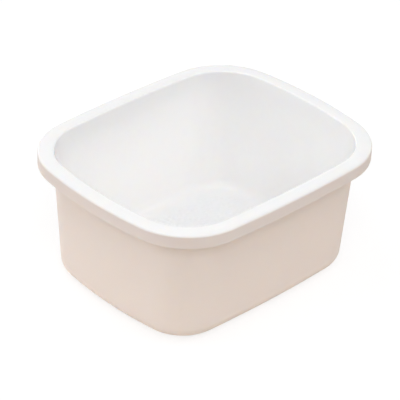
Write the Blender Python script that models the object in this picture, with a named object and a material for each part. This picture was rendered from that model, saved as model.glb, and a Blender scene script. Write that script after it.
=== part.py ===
"""Foot basin: a deep moulded tub whose wide rim turns down into a skirt, on four rubber feet.

The tub is one closed solid, lofted through level outlines from the top of its floor, up the inside,
over the rim and skirt, and down the outside to its underside. The origin is under the basin's centre,
on the surface that the feet stand on, with +X along the basin's length.
"""

import math
from dataclasses import astuple, dataclass, replace

import bmesh
import bpy
from mathutils import Vector
from mathutils.geometry import intersect_sphere_sphere_2d

# Whole basin, in metres
RIM_LENGTH = 0.400
RIM_WIDTH = 0.3314
HEIGHT = 0.182

# Outline of the rim from above: two bowed ends, two bowed sides and four round corners
CORNER_RADIUS = 0.091
END_RADIUS = 0.583
SIDE_RADIUS = 1.885

# Wall and floor
WALL_THICKNESS = 0.0020
FLOOR_THICKNESS = 0.0025
WALL_LEAN = 0.0122
WALL_CORNER_RADIUS = 0.0775
BASE_CORNER_RADIUS = 0.0616
BASE_FILLET = 0.0201

# Rim and skirt. The rim has a level strip along its inner edge, and falls from there to its outer edge.
RIM_OVERHANG = 0.0180
RIM_THICKNESS = 0.0024
RIM_LEVEL_STRIP = 0.0050
RIM_FALL = 0.0010
RIM_INNER_EDGE = 0.0020
RIM_OUTER_EDGE = 0.0040
RIM_FILLET = 0.0010
SKIRT_DEPTH = 0.0193
SKIRT_THICKNESS = 0.0020

# Ring under the base, and the round dishes that hold the feet
BASE_RING_WIDTH = 0.0070
BASE_RECESS = 0.0015
DISH_WALL = 0.0016
DISH_CLEARANCE = 0.0004
DISH_ROOT = 0.0010

# Rubber feet
FOOT_DIAMETER = 0.022
FOOT_STANDS_OUT = 0.0013
FOOT_EDGE = 0.0006
SEAT_GAP = 0.0003

# Faces along each stretch of an outline, round a small and a large quarter turn of its profile,
# over the rim's fall, and round a foot
END_STEPS = 4
CORNER_STEPS = 10
SIDE_STEPS = 4
EDGE_STEPS = 4
FILLET_STEPS = 7
FALL_STEPS = 3
FOOT_SIDES = 40

# Shading edges sharper than this stay crisp
CREASE_ANGLE = math.radians(40)

# Heights and radii that follow from the sizes above
BASE_HEIGHT = FOOT_STANDS_OUT
UNDERSIDE_HEIGHT = BASE_HEIGHT + BASE_RECESS
FLOOR_HEIGHT = UNDERSIDE_HEIGHT + FLOOR_THICKNESS
FILLET_HEIGHT = BASE_HEIGHT + BASE_FILLET
LIP_HEIGHT = HEIGHT - SKIRT_DEPTH
RIM_UNDERSIDE = HEIGHT - RIM_THICKNESS
SKIRT_FILLET = max(RIM_OUTER_EDGE - SKIRT_THICKNESS, SEAT_GAP)
FLOOR_FILLET = max(BASE_FILLET - 2 * WALL_THICKNESS, SEAT_GAP)
DISH_RADIUS = FOOT_DIAMETER / 2 + DISH_CLEARANCE


@dataclass
class Outline:
    """A level outline about the Z axis: four shallow arcs joined by round corners."""

    half_length: float
    half_width: float
    corner: float
    end_radius: float
    side_radius: float

    def inset(self, distance):
        """Return the parallel outline that lies this distance further in."""
        return Outline(
            self.half_length - distance,
            self.half_width - distance,
            self.corner - distance,
            self.end_radius - distance,
            self.side_radius - distance,
        )

    def toward(self, other, share):
        """Return the outline that lies this share of the way to another one."""
        pairs = zip(astuple(self), astuple(other))
        return Outline(*(here + (there - here) * share for here, there in pairs))

    def end_centre(self):
        """Return the centre of the arc across the +X end."""
        return Vector((self.half_length - self.end_radius, 0))

    def side_centre(self):
        """Return the centre of the arc along the +Y side."""
        return Vector((0, self.half_width - self.side_radius))

    def corner_centre(self):
        """Return the centre of the corner arc, which touches the end arc and the side arc."""
        centres = intersect_sphere_sphere_2d(
            self.end_centre(),
            self.end_radius - self.corner,
            self.side_centre(),
            self.side_radius - self.corner,
        )
        return max(centres, key=sum)

    def points(self):
        """Return the outline's points, counterclockwise from +X."""
        corner = self.corner_centre()
        end_turn = angle_of(corner - self.end_centre())
        side_turn = angle_of(corner - self.side_centre())
        quarter = arc(self.end_centre(), self.end_radius, 0, end_turn, END_STEPS)
        quarter += arc(corner, self.corner, end_turn, side_turn, CORNER_STEPS)[1:]
        quarter += arc(self.side_centre(), self.side_radius, side_turn, math.pi / 2, SIDE_STEPS)[1:]
        back = [Vector((-point.x, point.y)) for point in reversed(quarter)]
        half = quarter + back[1:]
        return half + [-point for point in half[1:-1]]


def angle_of(direction):
    """Return the direction's angle from +X."""
    return math.atan2(direction.y, direction.x)


def arc(centre, radius, start, end, steps):
    """Return the points of an arc between two angles, both ends included."""
    turns = [start + (end - start) * step / steps for step in range(steps + 1)]
    return [centre + radius * Vector((math.cos(turn), math.sin(turn))) for turn in turns]


def quarter_turn(radius, steps=EDGE_STEPS):
    """Return how far an upright quarter round lies in and down from its corner, face to top."""
    turns = [math.pi / 2 * step / steps for step in range(steps + 1)]
    return [(radius * (1 - math.cos(turn)), radius * (1 - math.sin(turn))) for turn in turns]


RIM = Outline(RIM_LENGTH / 2, RIM_WIDTH / 2, CORNER_RADIUS, END_RADIUS, SIDE_RADIUS)


def wall_at(height):
    """Return the outline of the tub's outer face, which leans in from the rim to the base fillet."""
    share = min((HEIGHT - height) / (HEIGHT - FILLET_HEIGHT), 1)
    corner = WALL_CORNER_RADIUS + (BASE_CORNER_RADIUS - WALL_CORNER_RADIUS) * share
    return replace(RIM.inset(RIM_OVERHANG + WALL_LEAN * share), corner=corner)


def inside_sections():
    """Return the inside's sections, from the floor's edge up to the rim's level strip."""
    sections = []
    for inward, down in reversed(quarter_turn(FLOOR_FILLET, FILLET_STEPS)):
        height = FLOOR_HEIGHT + down
        sections.append((wall_at(height).inset(WALL_THICKNESS + inward), height))
    for inward, down in quarter_turn(RIM_INNER_EDGE):
        height = HEIGHT - down
        sections.append((wall_at(height).inset(WALL_THICKNESS - inward), height))
    return sections


def rim_sections():
    """Return the sections of the rim's top, from the level strip outward, where it falls more and more."""
    strip = wall_at(HEIGHT).inset(WALL_THICKNESS - RIM_INNER_EDGE - RIM_LEVEL_STRIP)
    shares = [step / FALL_STEPS for step in range(FALL_STEPS)]
    return [(strip.toward(RIM.inset(RIM_OUTER_EDGE), share), HEIGHT - RIM_FALL * share**2) for share in shares]


def skirt_sections():
    """Return the skirt's sections, from the rim's outer edge, down and up again behind it."""
    sections = []
    for inward, down in reversed(quarter_turn(RIM_OUTER_EDGE)):
        sections.append((RIM.inset(inward), HEIGHT - RIM_FALL - down))
    lip = quarter_turn(SKIRT_THICKNESS / 2)
    sections += [(RIM.inset(inward), LIP_HEIGHT + up) for inward, up in lip]
    sections += [(RIM.inset(SKIRT_THICKNESS - inward), LIP_HEIGHT + up) for inward, up in reversed(lip[:-1])]
    for inward, down in quarter_turn(SKIRT_FILLET):
        sections.append((RIM.inset(SKIRT_THICKNESS + inward), RIM_UNDERSIDE - RIM_FALL - down))
    return sections


def outside_sections():
    """Return the outside's sections, from under the rim down to the recess under the floor."""
    sections = []
    for outward, down in reversed(quarter_turn(RIM_FILLET)):
        height = RIM_UNDERSIDE - down
        sections.append((wall_at(height).inset(-outward), height))
    for inward, up in quarter_turn(BASE_FILLET, FILLET_STEPS):
        sections.append((wall_at(BASE_HEIGHT).inset(inward), BASE_HEIGHT + up))
    recess = wall_at(BASE_HEIGHT).inset(BASE_FILLET + BASE_RING_WIDTH)
    sections.append((recess, BASE_HEIGHT))
    sections.append((recess, UNDERSIDE_HEIGHT))
    return sections


def plastic(name, colour, roughness):
    """Return a plain material with one Principled BSDF."""
    material = bpy.data.materials.new(name)
    material.use_nodes = True
    shader = material.node_tree.nodes["Principled BSDF"]
    shader.inputs["Base Color"].default_value = (*colour, 1)
    shader.inputs["Roughness"].default_value = roughness
    shader.inputs["Metallic"].default_value = 0
    material.diffuse_color = (*colour, 1)
    return material


def finish(model, name):
    """Return a shaded mesh made from the bmesh, with its faces pointing out."""
    bmesh.ops.recalc_face_normals(model, faces=model.faces)
    mesh = bpy.data.meshes.new(name)
    model.to_mesh(mesh)
    model.free()
    mesh.shade_smooth()
    mesh.set_sharp_from_angle(angle=CREASE_ANGLE)
    return mesh


def add_object(name, mesh, material):
    """Link an object for the mesh into the scene."""
    piece = bpy.data.objects.new(name, mesh)
    if not mesh.materials:
        mesh.materials.append(material)
    bpy.context.scene.collection.objects.link(piece)
    return piece


def loft(sections):
    """Return a closed bmesh through the sections, capped at the first and the last."""
    model = bmesh.new()
    rings = []
    for outline, height in sections:
        rings.append([model.verts.new((point.x, point.y, height)) for point in outline.points()])
    for ring, following in zip(rings, rings[1:]):
        for here, there in zip(range(len(ring)), [*range(1, len(ring)), 0]):
            model.faces.new((ring[here], ring[there], following[there], following[here]))
    model.faces.new(rings[0])
    model.faces.new(rings[-1])
    return model


def foot_places():
    """Return each foot's name with its centre, which is the centre of the base's corner."""
    centre = wall_at(BASE_HEIGHT).corner_centre()
    places = {}
    for row, side in (("front", -1), ("back", 1)):
        for column, end in (("left", -1), ("right", 1)):
            places[f"foot_{row}_{column}"] = Vector((centre.x * end, centre.y * side, 0))
    return places


def dish_walls(places):
    """Return the round walls under the floor that the feet sit in, rooted in the floor."""
    model = bmesh.new()
    top = UNDERSIDE_HEIGHT + DISH_ROOT
    for centre in places:
        radii = (DISH_RADIUS, DISH_RADIUS, DISH_RADIUS + DISH_WALL, DISH_RADIUS + DISH_WALL)
        heights = (BASE_HEIGHT, top, top, BASE_HEIGHT)
        rings = []
        for radius, height in zip(radii, heights):
            circle = arc(centre.xy, radius, 0, math.tau, FOOT_SIDES)[:-1]
            rings.append([model.verts.new((point.x, point.y, height)) for point in circle])
        for ring, following in zip(rings, rings[1:] + rings[:1]):
            for here, there in zip(range(FOOT_SIDES), [*range(1, FOOT_SIDES), 0]):
                model.faces.new((ring[here], ring[there], following[there], following[here]))
    guide = add_object("dish_walls", finish(model, "dish_walls"), WHITE)
    guide.hide_render = True
    guide.display_type = "WIRE"
    return guide


def basin_shell(places):
    """Add the tub with its rim, skirt and foot dishes."""
    sections = inside_sections() + rim_sections() + skirt_sections() + outside_sections()
    shell = add_object("basin_shell", finish(loft(sections), "basin_shell"), WHITE)
    union = shell.modifiers.new("Foot dishes", "BOOLEAN")
    union.operation = "UNION"
    union.object = dish_walls(places)
    return shell


def foot_mesh():
    """Return the mesh of a rubber foot, a disc whose lower edge is rounded."""
    height = FOOT_STANDS_OUT + BASE_RECESS - SEAT_GAP
    model = bmesh.new()
    disc = bmesh.ops.create_cone(
        model,
        cap_ends=True,
        segments=FOOT_SIDES,
        radius1=FOOT_DIAMETER / 2,
        radius2=FOOT_DIAMETER / 2,
        depth=height,
    )
    bmesh.ops.translate(model, verts=disc["verts"], vec=(0, 0, height / 2))
    lower_edge = [edge for edge in model.edges if all(vert.co.z < height / 2 for vert in edge.verts)]
    bmesh.ops.bevel(model, geom=lower_edge, offset=FOOT_EDGE, segments=2, profile=0.5, affect="EDGES")
    return finish(model, "rubber_foot")


for old in list(bpy.data.objects):
    bpy.data.objects.remove(old)

WHITE = plastic("White plastic", (0.87, 0.85, 0.83), 0.35)
RUBBER = plastic("Grey rubber", (0.42, 0.42, 0.41), 0.75)

feet = foot_places()
basin_shell(feet.values())
rubber_foot = foot_mesh()
for foot_name, foot_centre in feet.items():
    add_object(foot_name, rubber_foot, RUBBER).location = foot_centre
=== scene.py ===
import math

import bmesh
import bpy
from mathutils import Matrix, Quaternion, Vector, kdtree, noise
from mathutils.geometry import delaunay_2d_cdt, intersect_sphere_sphere_2d


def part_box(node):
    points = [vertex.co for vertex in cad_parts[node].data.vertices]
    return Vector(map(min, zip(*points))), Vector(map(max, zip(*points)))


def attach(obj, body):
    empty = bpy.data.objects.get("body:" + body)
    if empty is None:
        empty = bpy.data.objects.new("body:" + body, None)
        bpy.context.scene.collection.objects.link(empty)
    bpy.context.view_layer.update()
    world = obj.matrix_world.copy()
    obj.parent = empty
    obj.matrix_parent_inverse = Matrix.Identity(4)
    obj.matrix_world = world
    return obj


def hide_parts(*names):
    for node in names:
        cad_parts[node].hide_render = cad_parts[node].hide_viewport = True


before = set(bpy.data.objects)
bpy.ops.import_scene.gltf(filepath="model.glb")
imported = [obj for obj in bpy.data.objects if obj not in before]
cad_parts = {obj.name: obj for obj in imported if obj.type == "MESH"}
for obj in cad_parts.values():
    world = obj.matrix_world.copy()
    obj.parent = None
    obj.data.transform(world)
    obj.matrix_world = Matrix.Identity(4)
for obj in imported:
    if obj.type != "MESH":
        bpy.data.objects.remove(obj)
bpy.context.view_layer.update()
print("frame loaded:", ", ".join(sorted(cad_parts)))

# Sizes are in metres, in the CAD frame: +X along the basin, +Z up, the feet stand at z = 0.
mm = 0.001


def arcPoints(centre, radius, start, end, steps):
    turns = [start + (end - start) * i / steps for i in range(steps + 1)]
    return [centre + radius * Vector((math.cos(turn), math.sin(turn))) for turn in turns]


def quarterRound(radius, steps):
    # how far each point lies in and down from the corner, from the upright face to the level one
    turns = [math.pi / 2 * i / steps for i in range(steps + 1)]
    return [(radius * (1 - math.cos(turn)), radius * (1 - math.sin(turn))) for turn in turns]


def between(low, high, steps):
    # the values that lie between two ends, both ends left out
    return [low + (high - low) * i / steps for i in range(1, steps)]


def smoothStep(low, high, value):
    share = min(max((value - low) / (high - low), 0), 1)
    return share * share * (3 - 2 * share)


def addPiece(name, model, creaseAngle, node):
    # makes the bmesh into a piece that stands for a CAD node
    bmesh.ops.recalc_face_normals(model, faces=model.faces)
    mesh = bpy.data.meshes.new(name)
    model.to_mesh(mesh)
    model.free()
    mesh.shade_smooth()
    mesh.set_sharp_from_angle(angle=math.radians(creaseAngle))
    piece = bpy.data.objects.new(name, mesh)
    bpy.context.scene.collection.objects.link(piece)
    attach(piece, "root")
    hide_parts(node)
    return piece


# The tub: one moulding with its floor, walls, rim and skirt. Length, width and height come from the CAD.
tub = {
    "cornerRadius": 91.0 * mm,      # rim's corners, seen from above
    "endRadius": 583 * mm,          # bow of the two short ends
    "sideRadius": 1885 * mm,        # bow of the two long sides
    "wall": 2.0 * mm,
    "wallLean": 12.2 * mm,
    "wallCornerRadius": 77.5 * mm,
    "baseCornerRadius": 61.6 * mm,
    "baseFillet": 20.1 * mm,
    "floorFillet": 16.1 * mm,
    "scuffStart": 0.6,              # share of the base fillet from which it gets scuffed
    "overhang": 18.0 * mm,          # from the tub's wall to the rim's outer edge
    "rimThickness": 2.4 * mm,
    "rimLevelStrip": 5.0 * mm,      # along the rim's inner edge
    "rimFall": 1.0 * mm,            # from there to the rim's outer edge
    "rimInnerEdge": 2.0 * mm,
    "rimOuterEdge": 2.6 * mm,
    "rimFillet": 1.0 * mm,          # under the rim, where it meets the wall
    "skirtDepth": 19.3 * mm,
    "skirtThickness": 2.0 * mm,
    "baseHeight": 1.3 * mm,         # the ring under the base
    "ringWidth": 7.0 * mm,
    "ringEdge": 0.4 * mm,
    "undersideHeight": 2.8 * mm,
    "floorHeight": 5.3 * mm,
    "dishRadius": 11.4 * mm,        # round walls that hold the feet
    "dishWall": 1.6 * mm,
    "dishEdge": 0.3 * mm,
    "gateRadius": 5.0 * mm,         # where the plastic went in
    "gateStep": 0.5 * mm,
    "gateStub": 1.4 * mm,
    "ejectorRadius": 4.0 * mm,      # round marks that the mould's pins leave
    "ejectorDepth": 0.15 * mm,
    "ejectorSpots": [
        Vector((x * mm, y * mm)) for x, y in
        [(65, 50), (-65, 50), (65, -50), (-65, -50), (0, 90), (0, -90), (130, 0), (-130, 0)]
    ],
    "grainCell": 7.5 * mm,          # anti-slip grain of the floor
    "grainDepth": 0.42 * mm,
    "grainPitch": 1.5 * mm,         # mesh under the grain
    "grainMargin": 4.0 * mm,        # plain strip along the floor's edge
    "grainFade": 12.0 * mm,
    "grainValley": 0.7,             # the larger, the wider the valleys between pebbles
    "endSteps": 10,
    "cornerSteps": 28,
    "sideSteps": 14,
    "wallSteps": 24,
    "floorSteps": 8,                # over the floor fillet
    "baseSteps": 12,
    "edgeSteps": 10,                # over the rim's two edges
    "fallSteps": 6,
    "skirtSteps": 4,
    "smallSteps": 5,                # over the lip and the small fillets
    "ringSteps": 3,
    "circleSteps": 48,
    "creaseAngle": 40,
}
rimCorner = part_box("basin_shell")[1]
rimZ = rimCorner.z
rimEdgeZ = rimZ - tub["rimFall"]
rimUndersideZ = rimZ - tub["rimThickness"]
lipZ = rimZ - tub["skirtDepth"]
filletZ = tub["baseHeight"] + tub["baseFillet"]

# An outline is [half length, half width, corner radius, end radius, side radius], and every one of them
# shrinks by the same amount when the outline moves in.
rimOutline = [rimCorner.x, rimCorner.y, tub["cornerRadius"], tub["endRadius"], tub["sideRadius"]]


def inset(outline, distance):
    return [size - distance for size in outline]


def blendOutlines(first, second, share):
    return [a + (b - a) * share for a, b in zip(first, second)]


def outlineCentres(outline):
    # centres of the arcs across the +X end, along the +Y side and round the corner between them
    halfLength, halfWidth, corner, endRadius, sideRadius = outline
    end = Vector((halfLength - endRadius, 0))
    side = Vector((0, halfWidth - sideRadius))
    meetings = intersect_sphere_sphere_2d(end, endRadius - corner, side, sideRadius - corner)
    return end, side, max(meetings, key=sum)


def outlinePoints(outline):
    end, side, corner = outlineCentres(outline)
    endTurn = math.atan2(*(corner - end).yx)
    sideTurn = math.atan2(*(corner - side).yx)
    quarter = arcPoints(end, outline[3], 0, endTurn, tub["endSteps"])
    quarter += arcPoints(corner, outline[2], endTurn, sideTurn, tub["cornerSteps"])[1:]
    quarter += arcPoints(side, outline[4], sideTurn, math.pi / 2, tub["sideSteps"])[1:]
    half = quarter + [Vector((-point.x, point.y)) for point in reversed(quarter[:-1])]
    return half + [-point for point in half[1:-1]]


def wallAt(height):
    # outline of the tub's outer face, which leans in from the rim down to the base fillet
    share = min((rimZ - height) / (rimZ - filletZ), 1)
    outline = inset(rimOutline, tub["overhang"] + tub["wallLean"] * share)
    outline[2] = tub["wallCornerRadius"] + (tub["baseCornerRadius"] - tub["wallCornerRadius"]) * share
    return outline


def tubSections():
    # (outline, height, outside share, exposed edge), from the floor's edge, over the rim, to the underside.
    # The outside share gives the rougher outside finish and the painted warm shade: the white plastic drawn
    # darker and warmer on its outer faces
    sections = []
    wall, smallSteps = tub["wall"], tub["smallSteps"]

    def add(outline, height, outside, edge):
        sections.append((outline, height, outside, edge))

    # inside: floor fillet, wall, rounded inner edge
    for inward, up in reversed(quarterRound(tub["floorFillet"], tub["floorSteps"])):
        height = tub["floorHeight"] + up
        add(inset(wallAt(height), wall + inward), height, 0, 0)
    wallFoot = tub["floorHeight"] + tub["floorFillet"]
    for height in between(wallFoot, rimZ - tub["rimInnerEdge"], tub["wallSteps"]):
        add(inset(wallAt(height), wall), height, 0, 0)
    for inward, down in quarterRound(tub["rimInnerEdge"], tub["edgeSteps"]):
        height = rimZ - down
        exposed = math.sin(math.pi * inward / tub["rimInnerEdge"])
        add(inset(wallAt(height), wall - inward), height, 0, exposed)

    # rim's level strip, its fall, rounded outer edge, skirt; down the outer edge the outside share, and with
    # it the painted warm shade, rises from none to full
    stripEdge = inset(wallAt(rimZ), wall - tub["rimInnerEdge"] - tub["rimLevelStrip"])
    fallEdge = inset(rimOutline, tub["rimOuterEdge"])
    for share in [0, *between(0, 1, tub["fallSteps"])]:
        add(blendOutlines(stripEdge, fallEdge, share), rimZ - tub["rimFall"] * share**2, 0, 0)
    # the fall ends at the rounding's third point, because its two topmost ones lie almost level
    for inward, down in reversed(quarterRound(tub["rimOuterEdge"], tub["edgeSteps"])[:-2]):
        share = down / tub["rimOuterEdge"]
        add(inset(rimOutline, inward), rimEdgeZ - down, share, math.sin(math.pi * share))
    lipRadius = tub["skirtThickness"] / 2
    for height in between(rimEdgeZ - tub["rimOuterEdge"], lipZ + lipRadius, tub["skirtSteps"]):
        add(rimOutline, height, 1, 0)
    for inward, up in quarterRound(lipRadius, smallSteps):
        add(inset(rimOutline, inward), lipZ + up, 1, 1)
    for inward, up in reversed(quarterRound(lipRadius, smallSteps)[:-1]):
        add(inset(rimOutline, tub["skirtThickness"] - inward), lipZ + up, 1, 1)

    # behind the skirt, and under the rim to the tub's wall
    skirtFillet = tub["rimOuterEdge"] - tub["skirtThickness"]
    channelZ = rimEdgeZ - tub["rimThickness"]
    for height in between(lipZ + lipRadius, channelZ - skirtFillet, tub["skirtSteps"]):
        add(inset(rimOutline, tub["skirtThickness"]), height, 1, 0)
    for inward, down in quarterRound(skirtFillet, smallSteps):
        add(inset(rimOutline, tub["skirtThickness"] + inward), channelZ - down, 1, 0)
    channelEdge = inset(wallAt(rimUndersideZ), -tub["rimFillet"])
    add(blendOutlines(sections[-1][0], channelEdge, 0.5), (channelZ + rimUndersideZ) / 2, 1, 0)
    for outward, down in reversed(quarterRound(tub["rimFillet"], smallSteps)):
        height = rimUndersideZ - down
        add(inset(wallAt(height), -outward), height, 1, 0)

    # outside wall, base fillet, ring and recess
    for height in between(rimUndersideZ - tub["rimFillet"], filletZ, tub["wallSteps"]):
        add(wallAt(height), height, 1, 0)
    base = wallAt(tub["baseHeight"])
    for inward, up in quarterRound(tub["baseFillet"], tub["baseSteps"]):
        exposed = smoothStep(tub["scuffStart"], 1, inward / tub["baseFillet"])
        add(inset(base, inward), tub["baseHeight"] + up, 1, exposed)
    recess = tub["baseFillet"] + tub["ringWidth"]
    for inward, up in reversed(quarterRound(tub["ringEdge"], tub["ringSteps"])):
        add(inset(base, recess - inward), tub["baseHeight"] + up, 1, 1)
    add(inset(base, recess), tub["undersideHeight"], 1, 0)
    return sections


def loftSections(sections):
    # closed rings of faces through the sections, with the two shares kept on each vertex
    model = bmesh.new()
    outsideLayer = model.verts.layers.float.new("outside")
    edgeLayer = model.verts.layers.float.new("edge")
    rings = []
    for outline, height, outside, edge in sections:
        ring = [model.verts.new((*point, height)) for point in outlinePoints(outline)]
        for vert in ring:
            vert[outsideLayer] = outside
            vert[edgeLayer] = edge
        rings.append(ring)
    for ring, following in zip(rings, rings[1:]):
        for i in range(len(ring)):
            j = (i + 1) % len(ring)
            model.faces.new((ring[i], ring[j], following[j], following[i]))
    return model, rings[0], rings[-1]


def treeOf(verts):
    tree = kdtree.KDTree(len(verts))
    for i, vert in enumerate(verts):
        tree.insert(vert.co, i)
    tree.balance()
    return tree


def fillPlate(model, ring, circles=(), pitch=0):
    # fills a level ring with triangles, round the given circles and over a close grid of points
    points = [vert.co.xy for vert in ring]
    loops = [range(len(ring))]
    for centre, radius in circles:
        loops.append(range(len(points), len(points) + tub["circleSteps"]))
        points += arcPoints(centre, radius, 0, math.tau, tub["circleSteps"])[:-1]
    if pitch:
        farX, farY = (max(vert.co[axis] for vert in ring) for axis in (0, 1))
        rowPitch = pitch * math.sqrt(3) / 2
        edgeTree = treeOf(ring)
        for row in range(-int(farY / rowPitch), int(farY / rowPitch) + 1):
            for column in range(-int(farX / pitch), int(farX / pitch) + 1):
                point = Vector(((column + row % 2 / 2) * pitch, row * rowPitch))
                if edgeTree.find((*point, ring[0].co.z))[2] > tub["grainMargin"]:
                    points.append(point)
    edges = [(loop[i - 1], loop[i]) for loop in loops for i in range(len(loop))]
    insideOnly, closeness = 1, 1e-8
    flat, _, faces, origins, _, _ = delaunay_2d_cdt(points, edges, [], insideOnly, closeness)
    verts = {}
    for i in {i for face in faces for i in face}:
        origin = origins[i][0]
        verts[i] = ring[origin] if origin < len(ring) else model.verts.new((*flat[i], ring[0].co.z))
    for face in faces:
        model.faces.new([verts[i] for i in face])
    return [vert for vert in verts.values() if vert not in ring]


def grainHeight(x, y):
    # rounded pebbles with shallow valleys between them
    distances, _ = noise.voronoi(Vector((x, y, 0)) / tub["grainCell"])
    return tub["grainDepth"] * (smoothStep(0, tub["grainValley"], distances[1] - distances[0]) - 0.5)


def stepRegion(model, centre, inner, outer, level, height):
    # moves the level faces between two radii to another height, with upright sides
    tolerance = 0.01 * mm
    picked = [
        face for face in model.faces
        if max(abs(vert.co.z - level) for vert in face.verts) < tolerance
        and inner < (face.calc_center_median().xy - centre).length < outer
    ]
    moved = {}
    for vert in [vert for face in picked for vert in face.verts]:
        if vert not in moved:
            moved[vert] = model.verts.new((*vert.co.xy, height), vert)
    region = set(picked)
    border = [loop for face in picked for loop in face.loops if len(region & set(loop.edge.link_faces)) == 1]
    for face in picked:
        model.faces.new([moved[vert] for vert in face.verts])
    for loop in border:
        start, end = loop.vert, loop.link_loop_next.vert
        model.faces.new((start, end, moved[end], moved[start]))
    bmesh.ops.delete(model, geom=picked, context="FACES")
    return list(moved.values())


def tubModel():
    model, floorRing, undersideRing = loftSections(tubSections())
    edgeTree = treeOf(floorRing)
    for vert in fillPlate(model, floorRing, pitch=tub["grainPitch"]):
        fade = smoothStep(tub["grainMargin"], tub["grainFade"], edgeTree.find(vert.co)[2])
        vert.co.z += fade * grainHeight(vert.co.x, vert.co.y)

    underside = tub["undersideHeight"]
    inner, edge = tub["dishRadius"], tub["dishEdge"]
    outer = inner + tub["dishWall"]
    dishRings = (inner, inner + edge, outer - edge, outer)
    circles = [(spot, radius) for spot in footSpots() for radius in dishRings]
    circles += [(spot, tub["ejectorRadius"]) for spot in tub["ejectorSpots"]]
    circles += [(Vector((0, 0)), tub["gateRadius"]), (Vector((0, 0)), tub["gateStub"])]
    outsideLayer = model.verts.layers.float["outside"]
    for vert in fillPlate(model, undersideRing, circles):
        vert[outsideLayer] = 1
    for spot in footSpots():
        for vert in stepRegion(model, spot, inner, outer, underside, tub["baseHeight"] + edge):
            if inner + edge / 2 < (vert.co.xy - spot).length < outer - edge / 2:
                vert.co.z = tub["baseHeight"]
    for spot in tub["ejectorSpots"]:
        stepRegion(model, spot, 0, tub["ejectorRadius"], underside, underside + tub["ejectorDepth"])
    gateHeight = underside - tub["gateStep"]
    stepRegion(model, Vector((0, 0)), 0, tub["gateRadius"], underside, gateHeight)
    stepRegion(model, Vector((0, 0)), 0, tub["gateStub"], gateHeight, gateHeight - tub["gateStep"])
    return model


def footSpots():
    # each foot stands under the centre of a corner of the base
    corner = outlineCentres(wallAt(tub["baseHeight"]))[2]
    return [Vector((corner.x * end, corner.y * side)) for side in (-1, 1) for end in (-1, 1)]


tubPiece = addPiece("foot_basin_tub", tubModel(), tub["creaseAngle"], "basin_shell")
weighted = tubPiece.modifiers.new("Flat faces keep their shading", "WEIGHTED_NORMAL")
weighted.keep_sharp = True
print("tub:", len(tubPiece.data.polygons), "faces")

# A rubber foot: a turned pad with rings that grip the floor.
foot = {
    "radius": 11.0 * mm,
    "height": 2.5 * mm,
    "edge": 0.6 * mm,
    "topEdge": 0.2 * mm,
    "dimpleRadius": 2.0 * mm,
    "grooves": (4.0 * mm, 6.2 * mm, 8.4 * mm),   # radius at the middle of each groove
    "grooveWidth": 0.9 * mm,
    "grooveDepth": 0.4 * mm,
    "turnSteps": 72,
    "edgeSteps": 5,
    "topEdgeSteps": 3,
    "creaseAngle": 50,
}


def footProfile():
    # (radius, height) from the middle of the underside, out and up, to the middle of the top
    depth, slope = foot["grooveDepth"], foot["grooveDepth"] / 2
    profile = [(0, depth), (foot["dimpleRadius"] - slope, depth), (foot["dimpleRadius"], 0)]
    for middle in foot["grooves"]:
        near, far = middle - foot["grooveWidth"] / 2, middle + foot["grooveWidth"] / 2
        profile += [(near, 0), (near + slope, depth), (far - slope, depth), (far, 0)]
    for inward, up in reversed(quarterRound(foot["edge"], foot["edgeSteps"])):
        profile.append((foot["radius"] - inward, up))
    for inward, down in quarterRound(foot["topEdge"], foot["topEdgeSteps"]):
        profile.append((foot["radius"] - inward, foot["height"] - down))
    return profile + [(0, foot["height"])]


def footModel(spot):
    model = bmesh.new()
    rings = []
    for radius, height in footProfile():
        if radius:
            circle = arcPoints(spot, radius, 0, math.tau, foot["turnSteps"])[:-1]
            rings.append([model.verts.new((*point, height)) for point in circle])
        else:
            rings.append([model.verts.new((*spot, height))])
    for ring, following in zip(rings, rings[1:]):
        for i in range(foot["turnSteps"]):
            j = (i + 1) % foot["turnSteps"]
            corners = [
                ring[i % len(ring)], ring[j % len(ring)],
                following[j % len(following)], following[i % len(following)],
            ]
            model.faces.new(list(dict.fromkeys(corners)))    # a triangle where a ring is one point
    return model


footNames = ["foot_front_left", "foot_front_right", "foot_back_left", "foot_back_right"]
footPieces = []
for nodeName, spot in zip(footNames, footSpots()):
    model = footModel(spot)
    footPieces.append(addPiece("rubber_" + nodeName, model, foot["creaseAngle"], nodeName))
print("feet:", len(footPieces), "pieces of", len(footPieces[0].data.polygons), "faces")


# Groups that more than one material uses. Their values come in through named inputs.

def newGroup(name, inputs, outputs):
    tree = bpy.data.node_groups.new(name, "ShaderNodeTree")
    for socketName, value in inputs.items():
        socket = tree.interface.new_socket(name=socketName, in_out="INPUT", socket_type="NodeSocketFloat")
        socket.default_value = value
    for socketName in outputs:
        tree.interface.new_socket(name=socketName, in_out="OUTPUT", socket_type="NodeSocketFloat")
    return tree, tree.nodes.new("NodeGroupInput").outputs, tree.nodes.new("NodeGroupOutput").inputs


def addNode(tree, kind, inputs=None, **settings):
    # an input is either a value or the socket that feeds it
    node = tree.nodes.new("ShaderNode" + kind)
    for key, value in settings.items():
        setattr(node, key, value)
    for key, value in (inputs or {}).items():
        if isinstance(value, bpy.types.NodeSocket):
            tree.links.new(value, node.inputs[key])
        else:
            node.inputs[key].default_value = value
    return node


def mathNode(tree, operation, *values):
    return addNode(tree, "Math", dict(enumerate(values)), operation=operation).outputs[0]


def noiseNode(tree, size, detail, roughness=0.5, stretch=None):
    # noise whose blotches are about this many metres across
    place = addNode(tree, "TexCoord").outputs["Object"]
    if stretch:
        rotation, scale = stretch
        place = addNode(tree, "Mapping", {"Vector": place, "Rotation": rotation, "Scale": scale}).outputs[0]
    density = mathNode(tree, "DIVIDE", 1.0, size)
    inputs = {"Vector": place, "Scale": density, "Detail": detail, "Roughness": roughness}
    return addNode(tree, "TexNoise", inputs).outputs["Fac"]


def rangeNode(tree, value, low, high, newLow, newHigh):
    inputs = {"Value": value, "From Min": low, "From Max": high, "To Min": newLow, "To Max": newHigh}
    return addNode(tree, "MapRange", inputs, interpolation_type="SMOOTHSTEP").outputs["Result"]


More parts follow.
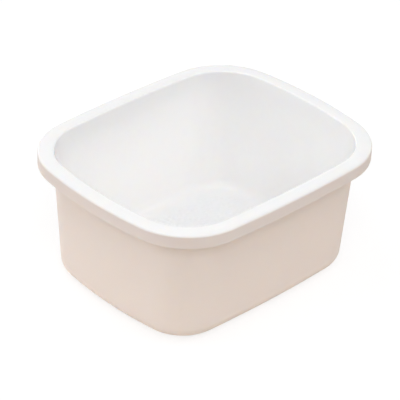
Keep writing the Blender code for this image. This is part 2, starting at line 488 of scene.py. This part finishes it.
def grainGroup():
    # fine matt grain that the mould's surface leaves, as a height
    tree, given, out = newGroup("Mould grain", {"Size": 0.6 * mm, "Softness": 0.5}, ["Height"])
    fine = noiseNode(tree, given["Size"], 3.0)
    coarse = noiseNode(tree, mathNode(tree, "MULTIPLY", given["Size"], 9.0), 1.0)
    soft = mathNode(tree, "MULTIPLY", coarse, given["Softness"])
    tree.links.new(mathNode(tree, "ADD", fine, soft), out["Height"])
    return tree


def cloudGroup():
    # slow variation over the surface, from 1 - Amount to 1
    tree, given, out = newGroup("Cloudy tone", {"Size": 60 * mm, "Amount": 0.03}, ["Tone"])
    cloud = rangeNode(tree, noiseNode(tree, given["Size"], 3.0), 0.3, 0.7, 0.0, 1.0)
    darker = mathNode(tree, "MULTIPLY", cloud, given["Amount"])
    tree.links.new(mathNode(tree, "SUBTRACT", 1.0, darker), out["Tone"])
    return tree


def wearGroup():
    # rubbed patches, strongest on exposed edges, with hairline scratches in two directions
    inputs = {"Edge": 0.0, "Amount": 0.5, "Size": 12 * mm}
    tree, given, out = newGroup("Handling wear", inputs, ["Rubbed", "Scratches"])
    patches = rangeNode(tree, noiseNode(tree, given["Size"], 4.0, 0.6), 0.42, 0.62, 0.0, 1.0)
    spread = mathNode(tree, "ADD", given["Edge"], 0.12)    # a little wear away from the edges too
    rubbed = mathNode(tree, "MULTIPLY", mathNode(tree, "MULTIPLY", patches, spread), given["Amount"])
    tree.links.new(rubbed, out["Rubbed"])
    hairs = []
    for turn in (0.5, 2.1):
        stretch = ((0.3, 0.2, turn), (0.03, 1.0, 1.0))    # long and thin
        hair = noiseNode(tree, mathNode(tree, "MULTIPLY", given["Size"], 0.06), 1.0, 0.5, stretch)
        hairs.append(rangeNode(tree, hair, 0.70, 0.76, 0.0, 1.0))
    scratches = mathNode(tree, "MULTIPLY", mathNode(tree, "MAXIMUM", *hairs), given["Amount"])
    tree.links.new(mathNode(tree, "MULTIPLY", scratches, patches), out["Scratches"])
    return tree


mouldGrain, cloudyTone, handlingWear = grainGroup(), cloudGroup(), wearGroup()


def useGroup(tree, group, **inputs):
    return addNode(tree, "Group", inputs, node_tree=group).outputs


def mixColours(tree, share, first, second, blend="MIX"):
    inputs = {0: share, 6: first, 7: second}
    return addNode(tree, "Mix", inputs, data_type="RGBA", blend_type=blend).outputs[2]


def newMaterial(name):
    material = bpy.data.materials.new(name)
    material.use_nodes = True
    return material, material.node_tree, material.node_tree.nodes["Principled BSDF"]


def feed(tree, shader, **sockets):
    for key, value in sockets.items():
        tree.links.new(value, shader.inputs[key.replace("_", " ")])


# White moulded polypropylene, smoother inside than outside. The outside colour is painted shade: the same
# white, drawn darker and warmer on the outer faces for the warm, dimmer light there
plastic = {
    "inside": (0.956, 0.947, 0.943, 1),
    # painted warm shade of the outer faces, on the same white plastic
    "outside": (0.865, 0.777, 0.752, 1),
    "rubbed": (0.86, 0.845, 0.82, 1),
    "roughInside": 0.13,
    "roughOutside": 0.70,
    "ior": 1.49,
    "translucency": 0.6,                     # the thin wall lets some light through
    "lightReach": 5 * mm,                    # how far light travels in the plastic
    "reachByColour": (0.8, 0.65, 0.5),       # red, green and blue
    "grainSize": 0.55 * mm,
    "grainSoftness": 0.6,
    "grainHeight": 0.012 * mm,
    "toneSize": 70 * mm,
    "toneAmount": 0.008,
    "glossSize": 25 * mm,
    "glossAmount": 0.06,
    "wear": 0.35,
    "wearSize": 10 * mm,
    "rubbedRough": 0.3,                      # added to the roughness where it is rubbed
    "scratchRough": 0.25,
    "scratchDepth": 1.5,                     # in grain heights
}


def plasticMaterial():
    material, tree, shader = newMaterial("White moulded plastic")
    # share of the outer faces: it sets the rougher outside finish, and the painted warm shade in the colour
    outside = addNode(tree, "Attribute", attribute_name="outside").outputs["Fac"]
    edge = addNode(tree, "Attribute", attribute_name="edge").outputs["Fac"]
    tone = useGroup(tree, cloudyTone, Size=plastic["toneSize"], Amount=plastic["toneAmount"])["Tone"]
    gloss = useGroup(tree, cloudyTone, Size=plastic["glossSize"], Amount=plastic["glossAmount"])["Tone"]
    wear = useGroup(tree, handlingWear, Edge=edge, Amount=plastic["wear"], Size=plastic["wearSize"])
    grain = useGroup(tree, mouldGrain, Size=plastic["grainSize"], Softness=plastic["grainSoftness"])["Height"]
    # painted shade: the outer faces take a darker, warmer copy of the white
    colour = mixColours(tree, outside, plastic["inside"], plastic["outside"])
    colour = mixColours(tree, 1.0, colour, tone, "MULTIPLY")
    colour = mixColours(tree, wear["Rubbed"], colour, plastic["rubbed"])
    rough = rangeNode(tree, outside, 0.0, 1.0, plastic["roughInside"], plastic["roughOutside"])
    rough = mathNode(tree, "MULTIPLY", gloss, rough)
    rough = mathNode(tree, "MULTIPLY_ADD", wear["Rubbed"], plastic["rubbedRough"], rough)
    rough = mathNode(tree, "MULTIPLY_ADD", wear["Scratches"], plastic["scratchRough"], rough)
    height = mathNode(tree, "MULTIPLY_ADD", wear["Scratches"], -plastic["scratchDepth"], grain)
    bump = addNode(tree, "Bump", {"Height": height, "Strength": 1.0, "Distance": plastic["grainHeight"]})
    feed(tree, shader, Base_Color=colour, Roughness=rough, Normal=bump.outputs["Normal"])
    shader.inputs["IOR"].default_value = plastic["ior"]
    shader.inputs["Subsurface Weight"].default_value = plastic["translucency"]
    shader.inputs["Subsurface Scale"].default_value = plastic["lightReach"]
    shader.inputs["Subsurface Radius"].default_value = plastic["reachByColour"]
    return material


# Pale grey rubber of the feet
rubber = {
    "colour": (0.42, 0.42, 0.41, 1),
    "dusty": (0.55, 0.54, 0.52, 1),
    "rough": 0.75,
    "grainSize": 0.35 * mm,
    "grainSoftness": 0.3,
    "grainHeight": 0.03 * mm,
    "toneSize": 6 * mm,
    "toneAmount": 0.12,
    "wear": 0.8,
    "wearSize": 4 * mm,
    "wearEdge": 0.4,
    "dustyRough": 0.2,                       # added to the roughness where it is dusty
}


def rubberMaterial():
    material, tree, shader = newMaterial("Grey rubber")
    tone = useGroup(tree, cloudyTone, Size=rubber["toneSize"], Amount=rubber["toneAmount"])["Tone"]
    handling = {"Edge": rubber["wearEdge"], "Amount": rubber["wear"], "Size": rubber["wearSize"]}
    wear = useGroup(tree, handlingWear, **handling)
    grain = useGroup(tree, mouldGrain, Size=rubber["grainSize"], Softness=rubber["grainSoftness"])["Height"]
    colour = mixColours(tree, 1.0, rubber["colour"], tone, "MULTIPLY")
    colour = mixColours(tree, wear["Rubbed"], colour, rubber["dusty"])
    rough = mathNode(tree, "MULTIPLY", tone, rubber["rough"])
    rough = mathNode(tree, "MULTIPLY_ADD", wear["Rubbed"], rubber["dustyRough"], rough)
    bump = addNode(tree, "Bump", {"Height": grain, "Strength": 1.0, "Distance": rubber["grainHeight"]})
    feed(tree, shader, Base_Color=colour, Roughness=rough, Normal=bump.outputs["Normal"])
    return material


tubPiece.data.materials.append(plasticMaterial())
rubberOfFeet = rubberMaterial()
for piece in footPieces:
    piece.data.materials.append(rubberOfFeet)
print("materials:", ", ".join(material.name for material in bpy.data.materials))

# Studio: a table that looks white to the camera and keeps a soft shadow, a soft sky, and softboxes
studio = {
    "floorSize": 24.0,
    "tableColour": (0.92, 0.84, 0.73, 1),    # what the table gives back to the object
    "tableReach": (0.75, 0.95),              # how far from the basin that fades out
    "shadowColour": (0.34, 0.34, 0.34, 1),   # part of the seen floor that takes the shadow
    "floorGlow": 0.72,                       # the rest of it
    "whiteReach": (1.0, 2.5),                # how far from the basin it rises to plain white
    "skyLight": 0.93,
    "skyBand": ((0.2, 0.4), (0.6, 0.8)),     # rises and falls over these shares of the way up
    "lamps": {
        # name: (azimuth and height in degrees, distance, side, watts)
        # azimuth 0 is in front of the long side
        "Softbox_front": (-42, 45, 3.0, 1.5, 23.3),
        "Softbox_right": (45, 45, 3.0, 1.5, 8.0),
        "Softbox_top_right": (45, 72, 3.0, 1.5, 14.4),
        "Softbox_left": (-135, 15, 3.0, 1.5, 17.4),
        "Softbox_top_left": (-135, 72, 3.0, 1.5, 13.6),
        "Softbox_back": (180, 15, 3.0, 1.5, 14.0),
    },
}


def cameraShare(tree):
    # 1 for rays that show the background: from the camera, and through gloss and glass
    path = addNode(tree, "LightPath").outputs
    shown = mathNode(tree, "MAXIMUM", path["Is Camera Ray"], path["Is Glossy Ray"])
    return mathNode(tree, "MAXIMUM", shown, path["Is Transmission Ray"])


def floorMaterial():
    material, tree, shader = newMaterial("Studio floor")
    tree.nodes.remove(shader)
    reach = addNode(tree, "VectorMath", {0: addNode(tree, "TexCoord").outputs["Object"]}, operation="LENGTH")
    table = rangeNode(tree, reach.outputs["Value"], *studio["tableReach"], 1.0, 0.0)
    colour = mixColours(tree, table, (0, 0, 0, 1), studio["tableColour"])
    returned = addNode(tree, "BsdfDiffuse", {"Color": colour})
    shadowed = addNode(tree, "BsdfDiffuse", {"Color": studio["shadowColour"]})
    strength = rangeNode(tree, reach.outputs["Value"], *studio["whiteReach"], studio["floorGlow"], 1.0)
    glow = addNode(tree, "Emission", {"Strength": strength})
    seen = addNode(tree, "AddShader", {0: shadowed.outputs[0], 1: glow.outputs[0]})
    mix = addNode(tree, "MixShader", {0: cameraShare(tree), 1: returned.outputs[0], 2: seen.outputs[0]})
    tree.links.new(mix.outputs[0], tree.nodes["Material Output"].inputs["Surface"])
    return material


def buildStudio():
    half = studio["floorSize"] / 2
    mesh = bpy.data.meshes.new("Studio_floor")
    corners = [(-half, -half, 0), (half, -half, 0), (half, half, 0), (-half, half, 0)]
    mesh.from_pydata(corners, [], [(0, 1, 2, 3)])
    floor = bpy.data.objects.new("Studio_floor", mesh)
    mesh.materials.append(floorMaterial())
    bpy.context.scene.collection.objects.link(floor)

    world = bpy.data.worlds.new("Soft world")
    world.use_nodes = True
    bpy.context.scene.world = world
    tree = world.node_tree
    (riseLow, riseHigh), (fallLow, fallHigh) = studio["skyBand"]
    up = addNode(tree, "SeparateXYZ", {0: addNode(tree, "TexCoord").outputs["Generated"]}).outputs["Z"]
    rise = rangeNode(tree, up, riseLow, riseHigh, 0.0, studio["skyLight"])
    band = mathNode(tree, "MULTIPLY", rise, rangeNode(tree, up, fallLow, fallHigh, 1.0, 0.0))
    shown = cameraShare(tree)
    strength = addNode(tree, "Mix", {0: shown, 2: band, 3: 1.0}, data_type="FLOAT").outputs[0]
    tree.links.new(strength, tree.nodes["Background"].inputs["Strength"])
    tree.nodes["Background"].inputs["Color"].default_value = (1, 1, 1, 1)

    for name, (azimuth, height, distance, side, watts) in studio["lamps"].items():
        lamp = bpy.data.lights.new(name, "AREA")
        lamp.shape, lamp.size, lamp.energy = "SQUARE", side, watts
        lampObject = bpy.data.objects.new(name, lamp)
        turn, rise = math.radians(azimuth), math.radians(height)
        away = Vector((math.sin(turn) * math.cos(rise), -math.cos(turn) * math.cos(rise), math.sin(rise)))
        lampObject.location = away * distance
        lampObject.rotation_euler = away.to_track_quat("Z", "Y").to_euler()
        bpy.context.scene.collection.objects.link(lampObject)


buildStudio()

view = {
    "place": (-1.7211, -1.71816, 1.65548),
    "aim": (-0.00329, 0.00328, 0.09677),
    "lens": 198.81,
    "sensor": 36,
    "roll": 2.497,
}


def buildCamera():
    camera = bpy.data.cameras.new("Camera")
    camera.lens, camera.sensor_width = view["lens"], view["sensor"]
    cameraObject = bpy.data.objects.new("Camera", camera)
    cameraObject.location = view["place"]
    turn = (Vector(view["aim"]) - Vector(view["place"])).to_track_quat("-Z", "Y")
    cameraObject.rotation_mode = "QUATERNION"
    cameraObject.rotation_quaternion = turn @ Quaternion((0, 0, 1), math.radians(view["roll"]))
    bpy.context.scene.collection.objects.link(cameraObject)
    bpy.context.scene.camera = cameraObject


buildCamera()
bpy.context.scene.view_settings.view_transform = "Standard"
print("studio and camera ready")
